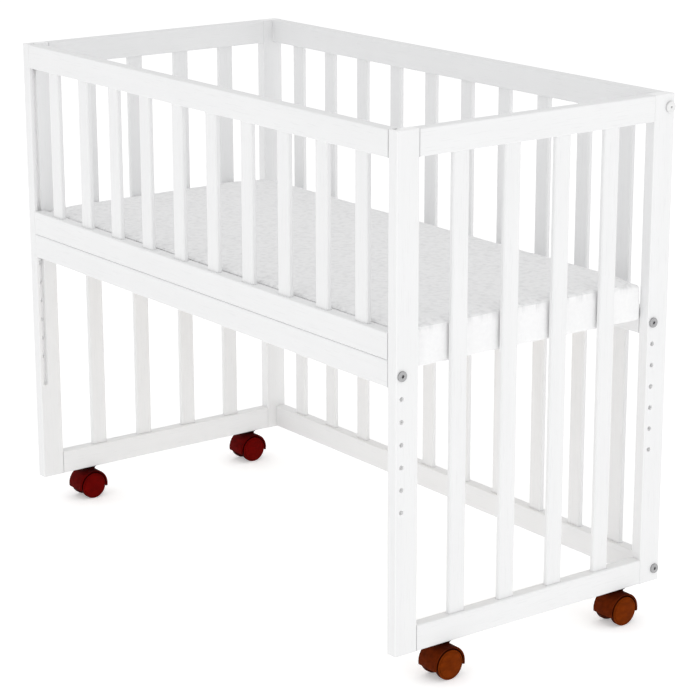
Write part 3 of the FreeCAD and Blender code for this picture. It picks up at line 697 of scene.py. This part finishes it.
def model_pad(low, high):
    """A closed cover with tight corners, fine cells at its edges, sides drawn in and a low crown."""
    pad = start_piece("mattress_pad", bpy.ops.mesh.primitive_grid_add,
                      x_subdivisions=170, y_subdivisions=84, size=2)
    edit(pad)
    bpy.ops.mesh.select_all(action="SELECT")
    for _ in range(PAD_LAYERS):
        push(z=2 / PAD_LAYERS)
    bpy.ops.mesh.select_all(action="SELECT")
    bpy.ops.mesh.normals_make_consistent(inside=False)
    lay_down()
    share = points_of(pad) - (0, 0, 1)
    share = np.stack([gather(share[:, axis], crowd) for axis, crowd in enumerate(PAD_CROWDING)], 1)
    half = np.array((high - low) / 2) - (0, 0, CROWN / 2)
    outer = share * half
    inner = np.clip(outer, PAD_EDGE_RADIUS - half, half - PAD_EDGE_RADIUS)
    arm = outer - inner
    spots = inner + arm * PAD_EDGE_RADIUS / np.linalg.norm(arm, axis=1, keepdims=True)
    inset = np.clip(half - np.abs(spots), 0, None)[:, :2].min(axis=1)
    plan = spots[:, :2] / half[:2]
    spots[:, :2] *= 1 - SIDE_DRAW / half[:2] * (1 - plan[:, ::-1] ** 2)
    rise = np.clip(inset / SOFT_REACH, 0, 1)
    spots[:, 2] += CROWN * (share[:, 2] + 1) / 2 * rise * rise * (3 - 2 * rise)
    spots += np.array((low + high) / 2) - (0, 0, CROWN / 2)
    move_points(pad, spots)
    return pad


def make_mattress(cloth_finish, seam_level):
    """The mattress: a filled cover with a stitched top edge that puckers, and soft hollows on top."""
    low, high = (Vector(corner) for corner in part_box("mattress"))
    low.x, high.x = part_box("left_slats")[1].x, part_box("right_slats")[0].x
    post_low, post_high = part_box("right_front_post")

    def reach(y):
        """Half the cover's length: to the end slats, but only to the faces of the front posts."""
        clear = min(1.0, max(0.0, (y - post_high.y - POST_CLEAR) / POST_BLEND))
        return post_low.x + (high.x - post_low.x) * clear * clear * (3 - 2 * clear)

    pad = model_pad(low, high)
    swell(pad, pressure=3.0, most=1.6 * MM)
    shape_cover(pad, low, high, seam_level, reach)
    soften(pad, 180)
    fit_out(pad, "base", cloth_finish, ["mattress"])
    make_seam_cord(pad, low, high, seam_level, reach, cloth_finish)


def shape_cover(pad, low, high, seam_level, reach):
    """Soft hollows over the top, sunken corners, puckers at the seam, no point past its space."""
    corners = [Vector((x, y)) for x in (low.x, high.x) for y in (low.y, high.y)]
    for point in pad.data.vertices:
        spot = point.co
        inset = min(spot.x - low.x, high.x - spot.x, spot.y - low.y, high.y - spot.y)
        if spot.z > high.z - TOP_ZONE:
            calm = min(1.0, max(0.0, inset / SOFT_REACH))
            wave = noise.noise(Vector((spot.x * 9, spot.y * 11, 3.1)))
            ripple = noise.noise(Vector((spot.x * 26, spot.y * 22, 7.7)))
            spot.z += (wave * 1.4 + ripple * 0.8) * MM * (0.3 + 0.7 * calm) - 0.4 * MM
        near_corner = 1 - min((spot.xy - corner).length for corner in corners) / CORNER_REACH
        if near_corner > 0:
            share = (spot.z - low.z) / (high.z - low.z)
            spot.z -= CORNER_SINK * near_corner ** 1.3 * share ** 2
        if inset < SIDE_REACH:
            pucker = noise.noise(Vector((spot.x * 62, spot.y * 62, 0.4)))
            fold = noise.noise(Vector((spot.x * 24, spot.y * 24, 5.0)))
            close = max(0.0, 1 - abs(spot.z - seam_level) / SEAM_REACH)
            spot.z += close * (pucker * 1.2 + fold) * MM
            pull = close * (0.5 + pucker * 0.9 + fold * 0.5) * MM
            for axis in (0, 1):
                if spot[axis] - low[axis] < SIDE_REACH:
                    spot[axis] += pull
                elif high[axis] - spot[axis] < SIDE_REACH:
                    spot[axis] -= pull
        for axis in range(3):
            spot[axis] = min(max(spot[axis], low[axis] + COVER_MARGIN), high[axis] - COVER_MARGIN)
        spot.x *= (reach(spot.y) - COVER_MARGIN) / (high.x - COVER_MARGIN)
    pad.data.update()


def seam_ring(half, count=720, turn_steps=14):
    """Starts and outward ways of rays that go once round a rectangle and fan out at its corners."""
    ring = []
    lengths = [2 * half.x, 2 * half.y, 2 * half.x, 2 * half.y]
    corners = [Vector((x * half.x, y * half.y)) for x, y in ((-1, -1), (1, -1), (1, 1), (-1, 1))]
    ways = [Vector((0, -1)), Vector((1, 0)), Vector((0, 1)), Vector((-1, 0))]
    for side in range(4):
        steps = int(count * lengths[side] / sum(lengths))
        first, last = corners[side], corners[(side + 1) % 4]
        for step in range(steps):
            ring.append((first.lerp(last, step / steps), ways[side]))
        for step in range(turn_steps):
            angle = QUARTER_TURN * step / turn_steps
            way = ways[side] * math.cos(angle) + ways[(side + 1) % 4] * math.sin(angle)
            ring.append((last, way))
    return ring


def make_seam_cord(pad, low, high, seam_level, reach, cloth_finish):
    """A thin piped edge round the mattress, laid on the cover where top and side are sewn together."""
    surface = BVHTree.FromObject(pad, bpy.context.evaluated_depsgraph_get())
    middle = (low + high) / 2
    points = []
    for start, way in seam_ring((high - low) / 2 - Vector((PIPING_TURN, PIPING_TURN, 0))):
        origin = Vector((middle.x + start.x, middle.y + start.y, seam_level))
        origin.z += noise.noise(Vector((origin.x * 40, origin.y * 40, 9.0))) * 0.5 * MM
        outward = Vector((way.x, way.y, 0))
        hit = surface.ray_cast(origin + outward * PIPING_FROM, -outward)[0]
        if hit:
            spot = hit - outward * 0.2 * MM
            most = reach(spot.y) - PIPING_ROOM
            spot.x = min(max(spot.x, -most), most)
            points.append(spot)
    curve = bpy.data.curves.new("mattress_piping", "CURVE")
    curve.dimensions = "3D"
    curve.bevel_depth = PIPING_RADIUS
    curve.bevel_resolution = 3
    spline = curve.splines.new("POLY")
    spline.points.add(len(points) - 1)
    for point, spot in zip(spline.points, points):
        point.co = (*spot, 1)
    spline.use_cyclic_u = True
    cord = bpy.data.objects.new("mattress_piping", curve)
    bpy.context.scene.collection.objects.link(cord)
    take_up(cord)
    bpy.ops.object.convert(target="MESH")
    cord = bpy.context.object
    soften(cord, 180)
    fit_out(cord, "base", cloth_finish)


# ---------------------------------------------------------------- wood and small frame pieces

def finish_frame_pieces(steel, socket_plastic):
    """Gives the frame's own pieces their finishes.

    The lacquer's grain runs along each piece, and a fine line shows where two pieces meet."""
    low_rail_top, high_rail_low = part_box("back_bottom_rail")[1].z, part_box("back_top_rail")[0].z
    guard_low_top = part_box("guard_low_rail")[1].z
    end_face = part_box("right_back_post")[0].y
    front_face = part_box("right_front_post")[1].y
    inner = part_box("right_front_post")[0].x
    slat_lines = [("Z", low_rail_top), ("Z", high_rail_low)]
    guard_lines = [("Z", guard_low_top), ("Z", high_rail_low)]
    # the back post's box: the posts' grooves and holes inside it get painted light
    low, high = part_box("right_back_post")
    post = [(axis, (low[place] + high[place]) / 2, (high[place] - low[place]) / 2)
            for place, axis in enumerate("XY")]
    coats = {
        "posts": lacquer("lacquer_posts", "Z", recess_light_box=post),
        "end_rails": lacquer("lacquer_end_rails", "Y", [("Y", end_face), ("Y", front_face)]),
        "slats": lacquer("lacquer_slats", "Z", slat_lines),
        "guard_slats": lacquer("lacquer_guard_slats", "Z", guard_lines),
        "long_rails": lacquer("lacquer_long_rails", "X", [("X", inner), ("X", -inner)]),
    }
    beech_along, beech_across = bare_beech("beech_along", "X"), bare_beech("beech_across", "Y")
    given = {"guard_pins": beech_along, "front_ledger": beech_along, "back_ledger": beech_along,
             "bed_slats": beech_across, "height_inserts": steel, "back_panel_inserts": steel,
             "caster_sockets": socket_plastic, "guard_slats": coats["guard_slats"],
             "back_slats": coats["slats"]}
    for end in ENDS:
        for side in ("front", "back"):
            given[f"{end}_{side}_post"] = coats["posts"]
            given[f"{end}_{side}_caster_stem"] = steel
            given[f"{end}_{side}_caster_axle"] = steel
        for level in ("top", "bottom"):
            given[f"{end}_{level}_rail"] = coats["end_rails"]
        given[f"{end}_slats"] = coats["slats"]
    for name in ("back_top_rail", "back_bottom_rail", "base_front_rail", "base_back_rail",
                 "guard_top_rail", "guard_low_rail"):
        given[name] = coats["long_rails"]
    for name, material in given.items():
        coat(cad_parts[name], material)


# ---------------------------------------------------------------- studio

def make_studio():
    """A pale floor, an even surround and two large soft lights a little above the crib."""
    lay_down()
    bpy.ops.mesh.primitive_plane_add(size=60, location=(0, 0, 0))
    floor = bpy.context.object
    floor.name = "studio_floor"
    paint = Finish("floor_paint", specular_ior_level=0.1, roughness=0.9, emission_strength=0.30)
    tone = paint.cloud(paint.place(), 0.8, 2.0)
    paint.give(base_color=paint.blend(tone, (0.93, 0.93, 0.93), (0.945, 0.945, 0.945)),
               emission_color=(1, 1, 1))
    floor.data.materials.append(paint.material)
    make_surround(0.83, 0.86)
    crib_middle = Vector((0, 0, 0.4))
    for name, place, size, power in (("side_light", (3.6, 0.4, 1.1), 2.2, 9),
                                     ("front_light", (0.4, -3.8, 1.1), 2.2, 7)):
        lamp = bpy.data.lights.new(name, "AREA")
        lamp.size = size
        lamp.energy = power
        holder = bpy.data.objects.new(name, lamp)
        holder.location = place
        aim = crib_middle - Vector(place)
        holder.rotation_euler = aim.to_track_quat("-Z", "Y").to_euler()
        bpy.context.scene.collection.objects.link(holder)


def make_surround(level, overhead):
    """White light from all round, with a plain white backdrop behind the floor's far edge."""
    world = bpy.data.worlds.new("surround")
    bpy.context.scene.world = world
    world.use_nodes = True
    tree = world.node_tree
    background = tree.nodes["Background"]
    spot = tree.nodes.new("ShaderNodeTexCoord")
    parts = tree.nodes.new("ShaderNodeSeparateXYZ")
    ramp = tree.nodes.new("ShaderNodeMapRange")
    tree.links.new(spot.outputs["Generated"], parts.inputs[0])
    tree.links.new(parts.outputs["Z"], ramp.inputs["Value"])
    for name, number in (("From Min", 0.1), ("From Max", 0.95), ("To Min", level), ("To Max", overhead)):
        ramp.inputs[name].default_value = number
    seen = tree.nodes.new("ShaderNodeLightPath")
    brighter = tree.nodes.new("ShaderNodeMath")
    brighter.operation = "MAXIMUM"
    tree.links.new(ramp.outputs[0], brighter.inputs[0])
    tree.links.new(seen.outputs["Is Camera Ray"], brighter.inputs[1])
    tree.links.new(brighter.outputs[0], background.inputs["Strength"])
    background.inputs["Color"].default_value = (1, 1, 1, 1)


def make_camera():
    """The camera where the photograph was taken from."""
    azimuth, elevation, roll = (math.radians(angle) for angle in (53.2315, 15.6944, -0.0814))
    away = Vector((math.sin(azimuth) * math.cos(elevation), -math.cos(azimuth) * math.cos(elevation),
                   math.sin(elevation)))
    looked_at, distance = Vector((0.0201, 0.0269, 0.33865)), 3.68903
    lens = bpy.data.cameras.new("camera")
    lens.sensor_width = 36
    lens.lens = 121.845
    lens.clip_start, lens.clip_end = 0.1, 100
    camera = bpy.data.objects.new("camera", lens)
    camera.location = looked_at + away * distance
    turn = (-away).to_track_quat("-Z", "Y").to_matrix() @ Matrix.Rotation(roll, 3, "Z")
    camera.rotation_euler = turn.to_euler()
    bpy.context.scene.collection.objects.link(camera)
    bpy.context.scene.camera = camera


make_camera()
make_studio()
bpy.context.scene.view_settings.view_transform = "Standard"
steel = zinc_steel()
# the cap plastic's last colour is painted shade for its hole and its rim
cap_plastic = moulded_plastic("cap_plastic", (0.78, 0.78, 0.78), (0.85, 0.85, 0.85), 0.4, 0.35,
                             painted_shade_colour=(0.48, 0.48, 0.48))
socket_plastic = moulded_plastic("socket_plastic", (0.012, 0.012, 0.012), (0.03, 0.03, 0.03))
# the casters' last colours are painted shade for their gaps and for the hood top under the rail
red = caster_plastics("red", hood=(0.115, 0.0009, 0.0006), wheel=(0.150, 0.0014, 0.0008),
                      painted_shade_colour=(0.022, 0.0002, 0.0002))
brown = caster_plastics("brown", hood=(0.120, 0.015, 0.0009), wheel=(0.195, 0.030, 0.0010),
                        painted_shade_colour=(0.030, 0.0025, 0.0003))
seam_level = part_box("mattress")[1].z - SEAM_BELOW_TOP
cloth_finish = mattress_cloth(seam_level)
finish_frame_pieces(steel, socket_plastic)
make_casters(red, brown)
make_bolts(steel)
make_caps(cap_plastic)
make_mattress(cloth_finish, seam_level)
